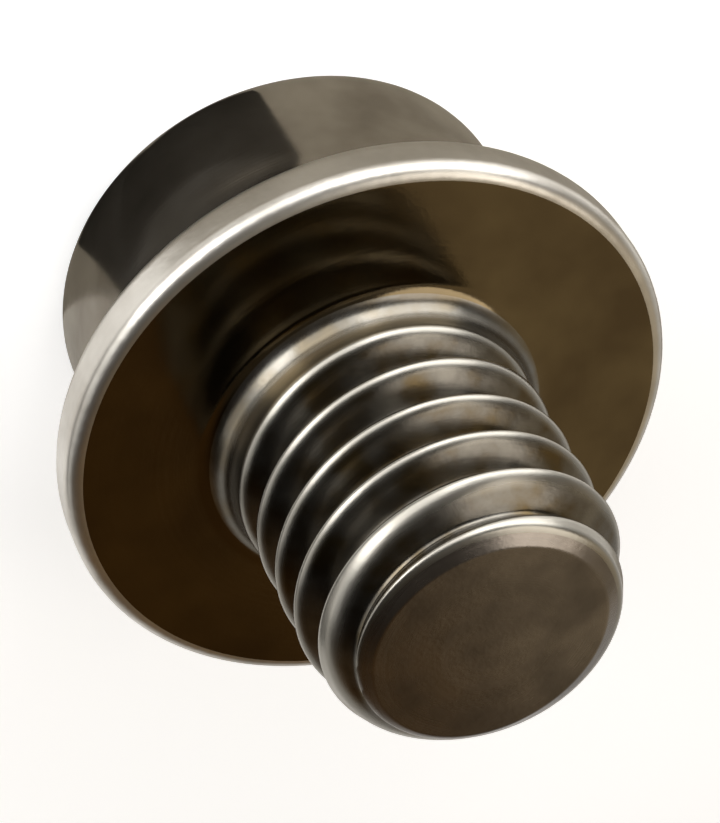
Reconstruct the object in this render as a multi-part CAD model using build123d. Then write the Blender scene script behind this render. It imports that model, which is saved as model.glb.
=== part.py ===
from build123d import *
from math import ceil, radians, sqrt, tan
import os

# A flanged bolt with a tall round head and an M4 coarse thread, in millimetres.
# The origin is on the axis at the bearing face, and +Z runs from the head to the tip,
# so the bolt stands on the flat end of its head.

# Thread, right-handed
major_diameter = 4.0
pitch = 0.7
flank_angle = 60.0  # between the two flanks
thread_depth_share = 0.61343  # depth over pitch of an external metric thread
crest_flat_share = 0.125  # crest flat over pitch
thread_start_angle = 60.0  # where the groove first breaks the surface, from +X
thread_start_height = 0.41  # groove centre there, above the bearing face
run_out_turns = 0.6  # the groove reaches its full depth over this much of a turn

# Shank
shank_length = 4.0  # from the bearing face to the flat tip
root_fillet = 0.35
tip_diameter = 3.24  # where the tip's taper would meet its flat end
tip_taper_length = 0.83
tip_face_diameter = 2.92  # the flat end, inside its chamfer
tip_chamfer_height = 0.11
tip_edge_round = 0.12  # both edges of the chamfer

# Flange
flange_overhang = 0.85  # how far the flange stands outside the head's side
rim_thickness = 0.72
rim_bearing_round = 0.2
rim_back_round = 0.24

# Head
head_diameter = 6.3
head_length = 3.8  # from the bearing face to the end that holds the socket
flare_radius = 1.4  # concave sweep from the flange's back up to the head's side
flare_foot = 0.3  # from the rim to the foot of the flare
head_edge_round = 0.45

# Hexagon socket
socket_width = 3.0  # across the flats of its key
socket_clearance = 0.02  # the socket is this much wider than its key
socket_depth = 1.9  # to the foot of the flats
drill_point_angle = 120.0
socket_mouth_angle = 90.0  # of the countersink at the mouth
socket_mouth_margin = 0.16  # the countersink is this much wider than the hexagon's corners

# How the groove is shaped
sections_per_half_turn = 12
cutter_lift = 0.03  # how far outside the crests the groove starts
cutter_reach = 0.3  # how far outside the crests the cutter's straight sides go

major_radius = major_diameter / 2
head_radius = head_diameter / 2
flange_radius = head_radius + flange_overhang


def turned_blank():
    """The bolt before its thread and socket: half its section, spun about the axis."""
    flare_end = flange_radius - flare_foot
    sideways = flange_overhang - flare_foot
    flare_height = sqrt(flare_radius**2 - (flare_radius - sideways) ** 2)
    flare_top = -rim_thickness - flare_height
    taper_slope = (major_radius - tip_diameter / 2) / tip_taper_length
    chamfer_radius = tip_diameter / 2 + taper_slope * tip_chamfer_height
    edge_rounds = [tip_edge_round, tip_edge_round, 0, root_fillet, rim_bearing_round, rim_back_round]
    with BuildPart() as blank:
        with BuildSketch(Plane.XZ):
            with BuildLine():
                FilletPolyline(
                    (0, shank_length),
                    (tip_face_diameter / 2, shank_length),
                    (chamfer_radius, shank_length - tip_chamfer_height),
                    (major_radius, shank_length - tip_taper_length),
                    (major_radius, 0),
                    (flange_radius, 0),
                    (flange_radius, -rim_thickness),
                    (flare_end, -rim_thickness),
                    radius=edge_rounds,
                )
                RadiusArc((flare_end, -rim_thickness), (head_radius, flare_top), -flare_radius)
                FilletPolyline(
                    (head_radius, flare_top),
                    (head_radius, -head_length),
                    (0, -head_length),
                    radius=head_edge_round,
                )
                Line((0, -head_length), (0, shank_length))
            make_face()
        revolve(axis=Axis.Z)
    return blank.part


def groove_section(turn):
    """The thread groove's section after this many turns, in a plane through the axis."""
    depth = pitch * thread_depth_share
    slope = tan(radians(flank_angle / 2))
    crest_half = pitch * (1 - crest_flat_share) / 2
    root_half = crest_half - depth * slope
    x = min(turn / run_out_turns, 1)
    share = x * x * (3 - 2 * x)
    root_radius = major_radius + cutter_lift - (depth + cutter_lift) * share
    knee_radius = major_radius + 2 * cutter_lift
    knee_half = root_half + slope * (knee_radius - root_radius)
    outer_radius = major_radius + cutter_reach
    angle = thread_start_angle + 360 * turn
    centre = (0, 0, thread_start_height + pitch * turn)
    outwards = Vector(1, 0, 0).rotate(Axis.Z, angle)
    onwards = Vector(0, 1, 0).rotate(Axis.Z, angle)
    corners = [
        (root_radius, -root_half),
        (knee_radius, -knee_half),
        (outer_radius, -knee_half),
        (outer_radius, knee_half),
        (knee_radius, knee_half),
        (root_radius, root_half),
    ]
    return Plane(centre, x_dir=outwards, z_dir=onwards) * make_face(Polyline(*corners, close=True))


def thread_cutters():
    """The thread groove as solids of half a turn each, from its run-out to past the tip."""
    turns = (shank_length + pitch - thread_start_height) / pitch
    cutters = []
    for half_turn in range(ceil(turns * 2)):
        steps = range(sections_per_half_turn + 1)
        sections = [groove_section((half_turn + i / sections_per_half_turn) / 2) for i in steps]
        cutters.append(loft(sections))
    return cutters


def socket_cutter():
    """The hexagon socket with its drilled foot and countersunk mouth."""
    flats = socket_width + socket_clearance
    corner_radius = flats / sqrt(3)
    mouth_radius = corner_radius + socket_mouth_margin / 2
    mouth_height = mouth_radius / tan(radians(socket_mouth_angle / 2))
    drill_height = flats / 2 / tan(radians(drill_point_angle / 2))
    mouth = Plane.XY.offset(-head_length)
    hexagon = mouth * extrude(RegularPolygon(flats / 2, 6, major_radius=False), socket_depth)
    drill = Cone(flats / 2, 0, drill_height, align=(Align.CENTER, Align.CENTER, Align.MIN))
    countersink = Cone(mouth_radius, 0, mouth_height, align=(Align.CENTER, Align.CENTER, Align.MIN))
    return hexagon + mouth.offset(socket_depth) * drill + mouth * countersink


bolt = turned_blank()
for cutter in thread_cutters():
    bolt -= cutter
bolt -= socket_cutter()
os.makedirs("parts", exist_ok=True)
export_step(bolt, "parts/bolt.step")
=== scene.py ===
import bpy
import bmesh
import math
from mathutils import Matrix, Vector


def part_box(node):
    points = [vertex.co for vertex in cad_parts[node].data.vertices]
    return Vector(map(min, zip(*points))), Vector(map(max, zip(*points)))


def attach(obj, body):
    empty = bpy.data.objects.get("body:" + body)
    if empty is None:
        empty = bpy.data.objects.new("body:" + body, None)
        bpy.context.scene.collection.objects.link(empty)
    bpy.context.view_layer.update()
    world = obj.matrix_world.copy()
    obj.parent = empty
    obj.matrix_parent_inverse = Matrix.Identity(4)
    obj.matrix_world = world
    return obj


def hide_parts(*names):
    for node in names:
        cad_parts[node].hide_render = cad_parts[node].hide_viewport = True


mm = 0.001
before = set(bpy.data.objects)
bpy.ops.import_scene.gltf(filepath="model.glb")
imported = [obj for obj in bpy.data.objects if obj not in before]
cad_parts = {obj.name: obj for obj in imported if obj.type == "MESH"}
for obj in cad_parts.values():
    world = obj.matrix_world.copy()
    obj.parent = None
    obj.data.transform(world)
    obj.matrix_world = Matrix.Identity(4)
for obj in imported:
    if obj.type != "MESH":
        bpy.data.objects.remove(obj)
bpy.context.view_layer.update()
scene = bpy.context.scene
scene.view_settings.view_transform = "Standard"
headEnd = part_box("bolt")[0][2]  # the bolt stands on this, on the flat end of its head
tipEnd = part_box("bolt")[1][2]
print("frame loaded, bolt from", round(headEnd / mm, 2), "to", round(tipEnd / mm, 2), "mm")


def linearColor(hexColor):
    parts = [int(hexColor[i:i + 2], 16) / 255 for i in (1, 3, 5)]
    return [c / 12.92 if c <= 0.04045 else ((c + 0.055) / 1.055) ** 2.4 for c in parts] + [1.0]


# camera, rolled so that the tip points down and to the right
shot = {
    "elevation": 46.23,  # degrees above the bearing face
    "roll": 151.03,
    "distance": 35.1 * mm,  # along the view, to the middle of the bearing face
    "aside": (-0.201 * mm, 0.298 * mm),
    "lens": 122.1,
    "sensorWidth": 36,
    "nearest": 1 * mm,  # nothing nearer than this is drawn
}

cameraData = bpy.data.cameras.new("camera")
cameraData.sensor_width = shot["sensorWidth"]
cameraData.lens = shot["lens"]
cameraData.clip_start = shot["nearest"]
camera = bpy.data.objects.new("camera", cameraData)
scene.collection.objects.link(camera)
tilt = Matrix.Rotation(math.radians(90 - shot["elevation"]), 4, "X")
roll = Matrix.Rotation(math.radians(shot["roll"]), 4, "Z")
camera.matrix_world = tilt @ roll @ Matrix.Translation((*shot["aside"], shot["distance"]))
scene.camera = camera


# the bolt's shape, in millimetres until its mesh is scaled
boltShape = {
    "thread": {
        "radius": 2.0,
        "pitch": 0.7,
        "profileAngle": 60.0,
        "rootRadius": 1.5706,
        "rootHalf": 0.0583,  # half the width of the groove's flat root
        "startAngle": 60.0,
        "startHeight": 0.41,
        "startsOutside": 0.03,  # the groove comes in from this far outside the shank
        "runOutTurns": 0.6,
        "crestSoftness": 0.11,  # how far the rolled edges are rounded
        "rootSoftness": 0.05,
        "stepsRound": 180,
        "rowsPerPitch": 28,
        "spareTurns": 2,  # swept past the ends of the shank, then cut off
        "turnsBelow": 1.2,  # how many of them lie below its foot
    },
    "shank": {
        "length": 4.0,
        "filletRadius": 0.35,
        "footCut": 0.06,  # height in the fillet where the swept part starts
        "filletStart": 240,  # degrees round the fillet where the rings below it start
        "tipCut": 0.01,  # the swept part ends this far below the first round of the tip
        "tipRadius": 1.62,
        "taperLength": 0.83,
        "taperSoftness": 0.03,
        "faceRadius": 1.46,
        "chamferHeight": 0.11,
        "tipRound": 0.12,
        "tipCrown": 0.05,  # how far the middle of the end stands above its rim
    },
    "head": {
        "flangeRadius": 4.0,
        "rim": 0.72,
        "rimBearingRound": 0.2,
        "rimBackRound": 0.24,
        "radius": 3.15,
        "length": 3.8,
        "flareRadius": 1.4,
        "flareFoot": 0.3,
        "edgeRound": 0.45,
        # short flats beside the rounds, which keep their shading from spreading
        "bearingStrip": 0.03,
        "rimStrip": 0.02,
        "sideStrip": 0.04,
        "endStrip": 0.03,
    },
    "socket": {
        "acrossFlats": 3.02,
        "depth": 1.9,
        "mouthMargin": 0.08,
        "mouthStrip": 0.04,
        "mouthStep": 0.006,  # the mouth's edge lies this far inside the head's end
        "wallStrip": 0.02,
        "footStep": 0.004,
        "drillAngle": 120.0,
    },
    "meshing": {
        "merge": 1e-4,  # points nearer than this become one
        "cut": 1e-6,  # points nearer than this to a cutting plane lie on it
        "level": 1e-3,  # an edge nearer than this to a height is at that height
        "hub": 0.05,  # radius of the last ring round the axis
        "sharpAngle": 40,  # degrees; where the surface turns by more, the edge shades sharp
    },
}
thread, shank, head, socket, meshing = boltShape.values()
taperSlope = (thread["radius"] - shank["tipRadius"]) / shank["taperLength"]


def softMin(a, b, softness):
    # the smaller of the two, rounded off where they are closer together than softness
    h = max(softness - abs(a - b), 0) / softness
    return min(a, b) - h * h * softness / 4


def softMax(a, b, softness):
    return -softMin(-a, -b, softness)


def blankRadius(z):
    # the shank before its thread: root fillet, plain length, taper
    fillet = shank["filletRadius"]
    r = thread["radius"]
    if z < fillet:
        return r + fillet - math.sqrt(fillet**2 - (fillet - z) ** 2)
    taper = r - (z - shank["length"] + shank["taperLength"]) * taperSlope
    return softMin(r, taper, shank["taperSoftness"])


def grooveRadius(angle, z):
    # distance from the axis to the groove's wall at this angle and height; every turn of the
    # groove that reaches up to there is tried
    wallSlope = 1 / math.tan(math.radians(thread["profileAngle"] / 2))
    outside = thread["radius"] + thread["startsOutside"]
    turn = ((angle - math.radians(thread["startAngle"])) / math.tau) % 1
    deepest = math.inf
    while thread["startHeight"] + thread["pitch"] * turn < z + thread["pitch"]:
        centre = thread["startHeight"] + thread["pitch"] * turn
        x = min(turn / thread["runOutTurns"], 1)
        share = x * x * (3 - 2 * x)  # eases from no depth to the full depth
        root = outside - (outside - thread["rootRadius"]) * share
        wall = root + (abs(z - centre) - thread["rootHalf"]) * wallSlope
        deepest = min(deepest, softMax(root, wall, thread["rootSoftness"]))
        turn += 1
    return deepest


def threadedRadius(angle, z, blank):
    return softMin(blank, grooveRadius(angle, z), thread["crestSoftness"])


def arcPoints(centre, radius, startAngle, endAngle, steps):
    # points of a round in the section, angles in degrees from outwards towards the tip
    turns = [math.radians(startAngle + (endAngle - startAngle) * i / steps) for i in range(steps + 1)]
    return [(centre[0] + radius * math.cos(a), centre[1] + radius * math.sin(a)) for a in turns]


def tipSection():
    # from the taper over the chamfer to the crowned end, with a round at each side of the chamfer
    chamferSteps, crownSteps = 4, 8
    height, crown = shank["chamferHeight"], shank["tipCrown"]
    rim = shank["length"] - crown
    outer = (shank["tipRadius"] + taperSlope * (height + crown), rim - height)
    inner = (shank["faceRadius"], rim)
    lean = math.degrees(math.atan(taperSlope))
    steep = math.degrees(math.atan2(outer[0] - inner[0], height))
    points = []
    for corner, before, after in ((outer, lean, steep), (inner, steep, 90)):
        middle = math.radians((after + before) / 2)
        reach = shank["tipRound"] / math.cos(math.radians((after - before) / 2))
        centre = (corner[0] - reach * math.cos(middle), corner[1] - reach * math.sin(middle))
        arc = arcPoints(centre, shank["tipRound"], before, after, steps=7)
        if points:
            (r, z), (rNext, zNext) = points[-1], arc[0]
            for i in range(1, chamferSteps):
                points.append((r + (rNext - r) * i / chamferSteps, z + (zNext - z) * i / chamferSteps))
        points += arc
    edge = points[-1][0]
    for i in range(crownSteps - 1, 0, -1):
        points.append((edge * i / crownSteps, rim + crown * (1 - (i / crownSteps) ** 2)))
    return points


def makeShank(bm, lowCut, highCut):
    # a line of points swept up the helix, so that its rows follow the thread; each turn ends a pitch
    # above its start, on the next turn's points, so the seam closes only when doubles are merged
    step = thread["pitch"] / thread["rowsPerPitch"]
    rows = int((shank["length"] + thread["spareTurns"] * thread["pitch"]) / step)
    below = thread["pitch"] * thread["turnsBelow"]
    line = [bm.verts.new((thread["radius"], 0, i * step - below)) for i in range(rows)]
    edges = [bm.edges.new(pair) for pair in zip(line, line[1:])]
    bmesh.ops.spin(
        bm, geom=line + edges, cent=(0, 0, 0), axis=(0, 0, 1), angle=math.tau,
        steps=thread["stepsRound"], dvec=(0, 0, thread["pitch"] / thread["stepsRound"]),
    )
    bmesh.ops.remove_doubles(bm, verts=bm.verts[:], dist=meshing["merge"])
    for height, normal in ((lowCut, (0, 0, -1)), (highCut, (0, 0, 1))):
        bmesh.ops.bisect_plane(
            bm, geom=bm.verts[:] + bm.edges[:] + bm.faces[:], dist=meshing["cut"],
            plane_co=(0, 0, height), plane_no=normal, clear_outer=True,
        )
    # the points are pushed in where the groove runs; the lowest ring stays round for the fillet
    for v in bm.verts:
        angle = math.atan2(v.co.y, v.co.x)
        r = blankRadius(v.co.z)
        if v.co.z >= lowCut + meshing["merge"]:
            r = threadedRadius(angle, v.co.z, r)
        v.co.x, v.co.y = r * math.cos(angle), r * math.sin(angle)


def openEdges(bm, height):
    return [
        e for e in bm.edges
        if e.is_boundary and all(abs(v.co.z - height) < meshing["level"] for v in e.verts)
    ]


def pullRing(bm, edges, radius, z):
    # extrudes a ring of edges and puts it at a new radius and height; both may depend on the angle
    made = bmesh.ops.extrude_edge_only(bm, edges=edges)["geom"]
    for v in (g for g in made if isinstance(g, bmesh.types.BMVert)):
        angle = math.atan2(v.co.y, v.co.x)
        r = radius(angle) if callable(radius) else radius
        h = z(angle) if callable(z) else z
        v.co = (r * math.cos(angle), r * math.sin(angle), h)
    return [g for g in made if isinstance(g, bmesh.types.BMEdge)]


def closeRing(bm, edges, z):
    # brings the last ring to a point on the axis
    edges = pullRing(bm, edges, meshing["hub"], z)
    face = bmesh.ops.contextual_create(bm, geom=edges)["faces"]
    bmesh.ops.poke(bm, faces=face)


def sectionBelow():
    # the section from the foot of the shank out over the flange and down to the head's end
    footX, fillet = thread["radius"] + shank["filletRadius"], shank["filletRadius"]
    flange, rim = head["flangeRadius"], head["rim"]
    front, back = head["rimBearingRound"], head["rimBackRound"]
    side, flare, edge = head["radius"], head["flareRadius"], head["edgeRound"]
    flareTurn = math.degrees(math.acos(1 - (flange - head["flareFoot"] - side) / flare))
    flareTop = -rim - flare * math.sin(math.radians(flareTurn))
    edgeTop = -head["length"] + edge
    points = arcPoints((footX, fillet), fillet, shank["filletStart"], 270, steps=6)
    points += [(footX + head["bearingStrip"], 0), (flange - front - head["bearingStrip"], 0)]
    points += arcPoints((flange - front, -front), front, 90, 0, steps=10)
    points += [(flange, -front - head["rimStrip"]), (flange, -rim + back + head["rimStrip"])]
    points += arcPoints((flange - back, -rim + back), back, 0, -90, steps=8)
    points += arcPoints((side + flare, flareTop), flare, 180 - flareTurn, 180, steps=12)
    points += [(side, flareTop - head["sideStrip"]), (side, edgeTop + head["sideStrip"])]
    points += arcPoints((side - edge, edgeTop), edge, 0, -90, steps=12)
    points += [(side - edge - head["endStrip"], -head["length"])]
    return points


def makeSocket(bm, edges):
    flat, top = socket["acrossFlats"] / 2, -head["length"]
    foot = top + socket["depth"]
    mouth = flat / math.cos(math.radians(30)) + socket["mouthMargin"]

    def hexagon(angle):
        return flat / math.cos((angle + math.radians(30)) % math.radians(60) - math.radians(30))

    def countersink(angle):
        return top + mouth - hexagon(angle)

    for radius, z in (
        (mouth + socket["mouthStrip"], top),
        (mouth, top + socket["mouthStep"]),
        (hexagon, countersink),
        (hexagon, lambda angle: countersink(angle) + socket["wallStrip"]),
        (hexagon, foot),
        (flat, foot + socket["footStep"]),
    ):
        edges = pullRing(bm, edges, radius, z)
    closeRing(bm, edges, foot + flat / math.tan(math.radians(socket["drillAngle"] / 2)))


def makeTip(bm, edges):
    # the groove runs out through the chamfer, so the rings are pushed in as the shank is
    for r, z in tipSection():
        edges = pullRing(bm, edges, lambda angle: threadedRadius(angle, z, r), z)
    closeRing(bm, edges, shank["length"])


def makeBolt():
    bm = bmesh.new()
    lowCut, highCut = shank["footCut"], tipSection()[0][1] - shank["tipCut"]
    makeShank(bm, lowCut, highCut)
    edges = openEdges(bm, lowCut)
    for r, z in sectionBelow():
        edges = pullRing(bm, edges, r, z)
    makeSocket(bm, edges)
    makeTip(bm, openEdges(bm, highCut))
    bmesh.ops.scale(bm, vec=(mm, mm, mm), verts=bm.verts[:])
    bmesh.ops.remove_doubles(bm, verts=bm.verts[:], dist=meshing["merge"] * mm)
    bmesh.ops.recalc_face_normals(bm, faces=bm.faces[:])
    for f in bm.faces:
        f.smooth = True
    mesh = bpy.data.meshes.new("bolt_body")
    bm.to_mesh(mesh)
    openCount = sum(1 for e in bm.edges if not e.is_manifold)
    bm.free()
    mesh.set_sharp_from_angle(angle=math.radians(meshing["sharpAngle"]))
    # how far each point faces the tip, from -1 to 1, for the painted shade under the thread's crests
    facesTip = mesh.attributes.new("facesTip", "FLOAT", "POINT")
    for v in mesh.vertices:
        facesTip.data[v.index].value = v.normal.z
    piece = bpy.data.objects.new("bolt_body", mesh)
    scene.collection.objects.link(piece)
    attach(piece, "root")
    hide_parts("bolt")
    print("bolt made,", len(mesh.polygons), "faces,", openCount, "open edges")
    return piece


def addNode(material, kind, settings=None, links=None):
    node = material.node_tree.nodes.new(kind)
    for name, value in (settings or {}).items():
        if isinstance(name, int) or name in node.inputs:
            node.inputs[name].default_value = value
        else:
            setattr(node, name, value)
    for name, source in (links or {}).items():
        material.node_tree.links.new(source, node.inputs[name])
    return node


def newMaterial(name):
    material = bpy.data.materials.new(name)
    material.use_nodes = True
    material.node_tree.nodes.clear()
    return material


# Lengths are in millimetres. feed is the spacing of the marks that the tool or the tumbler left,
# wander how far they stray, ringDepth how deep they are, and patch the size of a stain, on the thread
# of a patch of the painted shade. grit and gritDepth are the width and depth of the fine pits: real
# ones are about 0.01 mm wide, too fine to show, so they are drawn five to twenty times as wide.
# roughness is the smoothest and the dullest, and on the thread that of the bare metal and the shaded.
finishes = {
    # head and the flange's back, turned: bright, with fine rings that draw reflections out
    "turned_stainless_steel": {
        "light": "#bdb8b0", "dark": "#99938a", "roughness": (0.14, 0.24),
        "feed": 0.035, "wander": 0.02, "ringDepth": 0.0009,
        "grit": 0.05, "gritDepth": 0.0006, "patch": 1.2,
    },
    # the flange's rim, softened and dimpled by tumbling, so that its highlight spreads
    "tumbled_rim_steel": {
        "light": "#cac6be", "dark": "#b4afa6", "roughness": (0.32, 0.4),
        "feed": 0.06, "wander": 0.1, "ringDepth": 0.0006,
        "grit": 0.2, "gritDepth": 0.006, "patch": 0.8,
    },
    # bearing face, faced with a fine cut and browned: a dark mirror beside the bright shank
    "faced_stainless_steel": {
        "light": "#72664f", "dark": "#5e523f", "roughness": (0.11, 0.15),
        "feed": 0.05, "wander": 0.02, "ringDepth": 0.0008,
        "grit": 0.06, "gritDepth": 0.0007, "patch": 1.5,
    },
    # thread, rolled: bright crests, with painted shade in the grooves and under the crests, brown in
    # patches
    "rolled_stainless_steel": {
        "light": "#9c988f", "shadeGrey": "#4a4640", "shadeBrown": "#5f5136", "roughness": (0.31, 0.22),
        "feed": 0.05, "wander": 0.05, "ringDepth": 0.0008,
        "grit": 0.06, "gritDepth": 0.001, "patch": 0.6,
        "shadeDepth": 0.12,  # the painted shade is complete this far below the crests
        "cornerShade": 0.7,  # share of painted shade in the corner under the head
        "cornerSpan": (-0.015, 0.025),  # where it sets in, measured outwards from the thread's radius
        "underSpan": (0.02, -0.14),  # painted shade sets in under the crests over this span of facesTip
        "faintestShade": 0.6,  # share of painted shade where it is faintest
    },
    # tip, tumbled: dull and a little warm
    "tumbled_stainless_steel": {
        "light": "#827b74", "dark": "#645e58", "roughness": (0.24, 0.32),
        "feed": 0.09, "wander": 0.3, "ringDepth": 0.0004,
        "grit": 0.07, "gritDepth": 0.0016, "patch": 0.9,
    },
    # socket, broached: duller than the head, and darker
    "broached_stainless_steel": {
        "light": "#8f887e", "dark": "#6c655b", "roughness": (0.28, 0.42),
        "feed": 0.06, "wander": 0.1, "ringDepth": 0.0012,
        "grit": 0.06, "gritDepth": 0.0015, "patch": 0.7,
    },
}
driftSize = 1.5  # the straying of the marks changes over this length
noiseSpans = {  # what part of a noise, which keeps near 0.5, each blend runs over
    "stain": (0.35, 0.65),
    "marksAndStain": (0.7, 1.3),  # of two noises added up
    "shadePatches": (0.35, 0.6),
    "shadeBrown": (0.44, 0.68),
}
finishEnds = {
    "socketRadius": 1.9,  # nothing of the head but its socket is nearer the axis than this
    "facedStart": 0.2,  # the bearing face's finish starts this far outside the thread
    "facedHeight": 0.05,  # and ends this far up the fillet
    "tipLength": 0.12,  # the tip's finish covers this much of the shank
}


def roundTheAxis(material, finish):
    # marks left by a turning tool: a pattern that changes with radius and height and hardly at all
    # round the axis
    where = addNode(material, "ShaderNodeTexCoord").outputs["Object"]
    drift = addNode(
        material, "ShaderNodeTexNoise", {"Scale": 1 / (driftSize * mm), "Detail": 2.0}, {"Vector": where},
    )
    way = addNode(material, "ShaderNodeSeparateXYZ", links={0: where})
    flat = addNode(
        material, "ShaderNodeCombineXYZ", links={"X": way.outputs["X"], "Y": way.outputs["Y"]},
    )
    radius = addNode(material, "ShaderNodeVectorMath", {"operation": "LENGTH"}, {0: flat.outputs[0]})
    strayed = addNode(
        material, "ShaderNodeMath", {"operation": "MULTIPLY_ADD", 1: finish["wander"] * mm},
        {0: drift.outputs["Fac"], 2: radius.outputs["Value"]},
    )
    section = addNode(
        material, "ShaderNodeCombineXYZ", links={"X": strayed.outputs[0], "Y": way.outputs["Z"]},
    )
    marks = addNode(
        material, "ShaderNodeTexNoise",
        {"Scale": 1 / (finish["feed"] * mm), "Detail": 3.0, "Roughness": 0.6},
        {"Vector": section.outputs[0]},
    )
    return where, radius.outputs["Value"], marks.outputs["Fac"]


def steelShader(material, finish, where, marks, color, roughness):
    # the metal itself, with the marks and the pits as bump
    grit = addNode(
        material, "ShaderNodeTexNoise", {"Scale": 1 / (finish["grit"] * mm), "Detail": 2.0},
        {"Vector": where},
    )
    rings = addNode(
        material, "ShaderNodeBump", {"Strength": 1.0, "Distance": finish["ringDepth"] * mm},
        {"Height": marks},
    )
    grain = addNode(
        material, "ShaderNodeBump", {"Strength": 1.0, "Distance": finish["gritDepth"] * mm},
        {"Height": grit.outputs["Fac"], "Normal": rings.outputs[0]},
    )
    shader = addNode(
        material, "ShaderNodeBsdfPrincipled", {"Metallic": 1.0},
        {"Base Color": color, "Roughness": roughness, "Normal": grain.outputs[0]},
    )
    addNode(material, "ShaderNodeOutputMaterial", links={"Surface": shader.outputs[0]})


def markedSteel(name, finish):
    # steel with the marks of its tool or its tumbler, and a tint that shifts a little over the surface
    material = newMaterial(name)
    where, _, marks = roundTheAxis(material, finish)
    patch = addNode(
        material, "ShaderNodeTexNoise", {"Scale": 1 / (finish["patch"] * mm), "Detail": 3.0},
        {"Vector": where},
    )
    low, high = noiseSpans["stain"]
    stain = addNode(
        material, "ShaderNodeMapRange", {"From Min": low, "From Max": high},
        {"Value": patch.outputs["Fac"]},
    )
    color = addNode(
        material, "ShaderNodeMix",
        {"data_type": "RGBA", 6: linearColor(finish["light"]), 7: linearColor(finish["dark"])},
        {"Factor": stain.outputs[0]},
    )
    both = addNode(
        material, "ShaderNodeMath", {"operation": "ADD"}, {0: marks, 1: patch.outputs["Fac"]},
    )
    low, high = noiseSpans["marksAndStain"]
    smooth, dull = finish["roughness"]
    roughness = addNode(
        material, "ShaderNodeMapRange",
        {"From Min": low, "From Max": high, "To Min": smooth, "To Max": dull},
        {"Value": both.outputs[0]},
    )
    steelShader(material, finish, where, marks, color.outputs[2], roughness.outputs[0])
    return material


def rolledSteel(name, finish):
    # thread rolled between dies: polished crests, with painted shade darkening the grooves
    material = newMaterial(name)
    where, radius, marks = roundTheAxis(material, finish)

    # how far the surface lies inside the blank, whose end is tapered; carried on down to the
    # bearing face, the taper would have the radius widest
    widest = thread["radius"] + taperSlope * (shank["length"] - shank["taperLength"])
    height = addNode(material, "ShaderNodeSeparateXYZ", links={0: where})
    taper = addNode(
        material, "ShaderNodeMath", {"operation": "MULTIPLY_ADD", 1: -taperSlope, 2: widest * mm},
        {0: height.outputs["Z"]},
    )
    blank = addNode(
        material, "ShaderNodeMath", {"operation": "MINIMUM", 1: thread["radius"] * mm},
        {0: taper.outputs[0]},
    )
    inside = addNode(
        material, "ShaderNodeMath", {"operation": "SUBTRACT"}, {0: blank.outputs[0], 1: radius},
    )
    # painted shade, darker the deeper the surface lies in the groove
    depth = addNode(
        material, "ShaderNodeMapRange",
        {
            "From Min": 0.0, "From Max": finish["shadeDepth"] * mm,
            "interpolation_type": "SMOOTHSTEP",
        },
        {"Value": inside.outputs[0]},
    )

    # painted shade also darkens the corner under the head and the undersides of the crests, so what
    # faces the head is darker than what faces the tip
    near, far = finish["cornerSpan"]
    corner = addNode(
        material, "ShaderNodeMapRange",
        {
            "From Min": (thread["radius"] + near) * mm, "From Max": (thread["radius"] + far) * mm,
            "To Max": finish["cornerShade"],
        },
        {"Value": radius},
    )
    # painted shade on what faces the head, read from the direction of the surface
    facing = addNode(material, "ShaderNodeAttribute", {"attribute_name": "facesTip"})
    level, hanging = finish["underSpan"]
    under = addNode(
        material, "ShaderNodeMapRange", {"From Min": level, "From Max": hanging},
        {"Value": facing.outputs["Fac"]},
    )
    most = addNode(
        material, "ShaderNodeMath", {"operation": "MAXIMUM"},
        {0: depth.outputs[0], 1: corner.outputs[0]},
    )
    held = addNode(
        material, "ShaderNodeMath", {"operation": "MAXIMUM"},
        {0: most.outputs[0], 1: under.outputs[0]},
    )

    # the painted shade is patchy, and brown where it is strongest
    shadePatches = addNode(
        material, "ShaderNodeTexNoise", {"Scale": 1 / (finish["patch"] * mm), "Detail": 4.0},
        {"Vector": where},
    )
    low, high = noiseSpans["shadePatches"]
    spread = addNode(
        material, "ShaderNodeMapRange",
        {"From Min": low, "From Max": high, "To Min": finish["faintestShade"], "To Max": 1.0},
        {"Value": shadePatches.outputs["Fac"]},
    )
    # all the painted shade together, in the groove, in the corner and under the crests, made patchy
    paintedShade = addNode(
        material, "ShaderNodeMath", {"operation": "MULTIPLY"},
        {0: held.outputs[0], 1: spread.outputs[0]},
    )
    low, high = noiseSpans["shadeBrown"]
    shadeBrown = addNode(
        material, "ShaderNodeMapRange", {"From Min": low, "From Max": high},
        {"Value": shadePatches.outputs["Fac"]},
    )
    groove = addNode(
        material, "ShaderNodeMix",
        {"data_type": "RGBA", 6: linearColor(finish["shadeGrey"]), 7: linearColor(finish["shadeBrown"])},
        {"Factor": shadeBrown.outputs[0]},
    )
    color = addNode(
        material, "ShaderNodeMix", {"data_type": "RGBA", 6: linearColor(finish["light"])},
        {"Factor": paintedShade.outputs[0], 7: groove.outputs[2]},
    )
    bare, shaded = finish["roughness"]
    roughness = addNode(
        material, "ShaderNodeMapRange", {"To Min": bare, "To Max": shaded}, {"Value": paintedShade.outputs[0]},
    )
    steelShader(material, finish, where, marks, color.outputs[2], roughness.outputs[0])
    return material


def finishOf(centre):
    # which finish a face has, from the middle of the face in millimetres
    r, z = math.hypot(centre.x, centre.y), centre.z
    if z < -head["rim"] and r < finishEnds["socketRadius"]:
        return "broached_stainless_steel"
    if -head["rim"] < z < -meshing["merge"] and r > head["flangeRadius"] - head["rimBearingRound"]:
        return "tumbled_rim_steel"
    if z < -meshing["merge"]:
        return "turned_stainless_steel"
    if z < finishEnds["facedHeight"] and r > thread["radius"] + finishEnds["facedStart"]:
        return "faced_stainless_steel"
    if z > shank["length"] - finishEnds["tipLength"]:
        return "tumbled_stainless_steel"
    return "rolled_stainless_steel"


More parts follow.
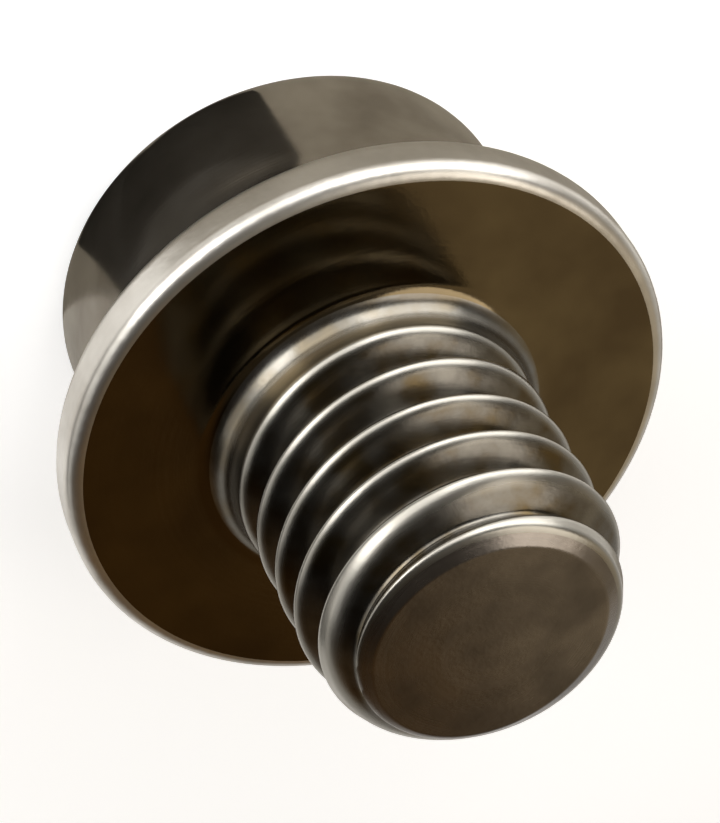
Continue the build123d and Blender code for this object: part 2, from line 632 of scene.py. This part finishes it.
def finishBolt(piece):
    names = list(finishes)
    for name in names:
        makeSteel = rolledSteel if name.startswith("rolled") else markedSteel
        piece.data.materials.append(makeSteel(name, finishes[name]))
    for face in piece.data.polygons:
        face.material_index = names.index(finishOf(face.center / mm))
    print("finishes put on,", len(names), "materials")


finishBolt(makeBolt())


# lengths in millimetres, angles in degrees
studio = {
    "floorRadius": 400,
    "floorColor": "#f2f2f2",
    "floorGlow": 0.42,  # what the paper adds by itself, so that its open part comes out white
    "horizon": "#cfcdc9",
    "roomLit": "#baaa8e",
    "roomBack": "#684f2e",
    "roomDark": "#0c0a08",
    "ceiling": "#57524b",
    "fades": {  # axis, and where along it one part of the room starts and ends giving way to another
        "side": ("X", -0.04, 0.05),
        "back": ("Y", 0.1, 0.6),
        "low": ("Z", 0.1, 0.35),
        "high": ("Z", 0.84, 0.98),
    },
    "lamps": {  # azimuth from the camera's side towards +X, elevation, distance, size, radiance, color
        "front_softbox": (-4, 22, 60, (70, 41), 2.4, "#ffffff"),
        "left_front_strip": (34, 22, 60, (26, 44), 5.0, "#ffffff"),
        "left_softbox": (66, 20, 60, (44, 34), 0.9, "#ffffff"),
        "right_softbox": (-54, 16, 35, (37, 22), 3.8, "#ffffff"),
        "right_top_softbox": (-95, 57, 40, (30, 20), 2.6, "#fff8ee"),
    },
    "cards": {  # color, and the corners with their x, y and lift above the paper
        # painted shade of the paper beside the head, shown only in the metal's reflections
        "painted_shade_card": ("#9a9488", [
            (2.0, -9.0, 0.05), (-9.0, -9.5, 0.05), (-10.0, 4.0, 0.05), (-12.0, 12.0, 0.05),
            (-2.0, 14.0, 0.05), (1.5, 3.0, 0.05), (3.5, -2.5, 0.05),
        ]),
        # painted shade, the paper a little grey behind the head, shown only in the metal's reflections
        "pale_painted_shade_card": ("#e0dcd4", [
            (2.8, -2.8, 0.03), (4.6, -3.2, 0.03), (4.9, 1.0, 0.03), (6.0, 6.0, 0.03),
            (8.0, 16.0, 0.03), (-14.0, 16.0, 0.03), (-10.0, 3.5, 0.03), (0.0, 0.0, 0.03),
        ]),
        # painted shadow, the head's shadow on the paper in front of it, shown only in the metal's
        # reflections
        "painted_shadow_card": ("#585652", [  # leans up towards its outer edge
            (-0.8, -3.05, 0.05), (-1.5, -4.0, 0.85), (1.2, -4.15, 0.85),
            (3.3, -2.9, 0.85), (2.3, -2.2, 0.05), (0.8, -3.05, 0.05),
        ]),
        # painted reflection, the far paper in front shows nearly black in the metal though it is white
        "dark_reflection_card": ("#181818", [
            (-7.0, -18.0, 0.05), (-12.0, -45.0, 0.05), (60.0, -50.0, 0.05),
            (60.0, 20.0, 0.05), (18.0, 5.0, 0.05), (12.0, -13.0, 0.05),
        ]),
    },
}


def makeFloor():
    bm = bmesh.new()
    bmesh.ops.create_circle(bm, cap_ends=True, segments=96, radius=studio["floorRadius"] * mm)
    bmesh.ops.translate(bm, vec=(0, 0, headEnd), verts=bm.verts[:])
    mesh = bpy.data.meshes.new("floor")
    bm.to_mesh(mesh)
    bm.free()
    floor = bpy.data.objects.new("floor", mesh)
    scene.collection.objects.link(floor)
    material = newMaterial("white_paper")
    paper = addNode(material, "ShaderNodeBsdfDiffuse", {"Color": linearColor(studio["floorColor"])})
    # the glow shows to the eye and in the metal's reflections, and lights nothing else
    ray = addNode(material, "ShaderNodeLightPath").outputs
    direct = addNode(
        material, "ShaderNodeMath", {"operation": "MAXIMUM"},
        {0: ray["Is Camera Ray"], 1: ray["Is Glossy Ray"]},
    )
    seen = addNode(
        material, "ShaderNodeMath", {"operation": "MAXIMUM"},
        {0: direct.outputs[0], 1: ray["Is Transmission Ray"]},
    )
    level = addNode(
        material, "ShaderNodeMath", {"operation": "MULTIPLY", 1: studio["floorGlow"]},
        {0: seen.outputs[0]},
    )
    glow = addNode(material, "ShaderNodeEmission", links={"Strength": level.outputs[0]})
    both = addNode(material, "ShaderNodeAddShader", links={0: paper.outputs[0], 1: glow.outputs[0]})
    addNode(material, "ShaderNodeOutputMaterial", links={"Surface": both.outputs[0]})
    mesh.materials.append(material)


def makeLamp(name, azimuth, elevation, distance, size, radiance, color):
    a, e = math.radians(azimuth), math.radians(elevation)
    toward = Vector((math.sin(a) * math.cos(e), -math.cos(a) * math.cos(e), math.sin(e)))
    data = bpy.data.lights.new(name, "AREA")
    data.shape = "RECTANGLE"
    data.size, data.size_y = size[0] * mm, size[1] * mm
    data.energy = radiance * math.pi * data.size * data.size_y
    data.color = linearColor(color)[:3]
    lamp = bpy.data.objects.new(name, data)
    lamp.location = toward * distance * mm
    lamp.rotation_mode = "QUATERNION"
    lamp.rotation_quaternion = toward.to_track_quat("Z", "Y")
    lamp.visible_camera = False
    scene.collection.objects.link(lamp)


def makeCard(name, color, corners):
    # a card on or just above the paper, which only the metal's reflections show: painted shade, a painted
    # shadow and a painted dark reflection
    bm = bmesh.new()
    bm.faces.new([bm.verts.new((x * mm, y * mm, headEnd + lift * mm)) for x, y, lift in corners])
    mesh = bpy.data.meshes.new(name)
    bm.to_mesh(mesh)
    bm.free()
    card = bpy.data.objects.new(name, mesh)
    scene.collection.objects.link(card)
    card.visible_camera = False
    card.visible_shadow = False
    card.visible_diffuse = False
    material = newMaterial(name)
    face = addNode(material, "ShaderNodeBsdfDiffuse", {"Color": linearColor(color)})
    addNode(material, "ShaderNodeOutputMaterial", links={"Surface": face.outputs[0]})
    mesh.materials.append(material)


def makeWorld():
    # dim room: pale round the horizon, warm behind and darker on the +X side, grey overhead and
    # nearly black elsewhere
    world = bpy.data.worlds.new("studio")
    world.use_nodes = True
    world.node_tree.nodes.clear()
    where = addNode(world, "ShaderNodeTexCoord")
    way = addNode(world, "ShaderNodeSeparateXYZ", links={0: where.outputs["Generated"]})
    fades = {}
    for name, (axis, start, end) in studio["fades"].items():
        fades[name] = addNode(
            world, "ShaderNodeMapRange",
            {"From Min": start, "From Max": end, "interpolation_type": "SMOOTHSTEP"},
            {"Value": way.outputs[axis]},
        ).outputs[0]
    behind = addNode(
        world, "ShaderNodeMix",
        {"data_type": "RGBA", 6: linearColor(studio["roomLit"]), 7: linearColor(studio["roomBack"])},
        {"Factor": fades["side"]},
    )
    room = addNode(
        world, "ShaderNodeMix", {"data_type": "RGBA", 6: linearColor(studio["roomDark"])},
        {"Factor": fades["back"], 7: behind.outputs[2]},
    )
    wall = addNode(
        world, "ShaderNodeMix", {"data_type": "RGBA", 6: linearColor(studio["horizon"])},
        {"Factor": fades["low"], 7: room.outputs[2]},
    )
    whole = addNode(
        world, "ShaderNodeMix", {"data_type": "RGBA", 7: linearColor(studio["ceiling"])},
        {"Factor": fades["high"], 6: wall.outputs[2]},
    )
    light = addNode(world, "ShaderNodeBackground", links={"Color": whole.outputs[2]})
    addNode(world, "ShaderNodeOutputWorld", links={"Surface": light.outputs[0]})
    scene.world = world


makeFloor()
makeWorld()
for name, lamp in studio["lamps"].items():
    makeLamp(name, *lamp)
for name, card in studio["cards"].items():
    makeCard(name, *card)
print("studio made")
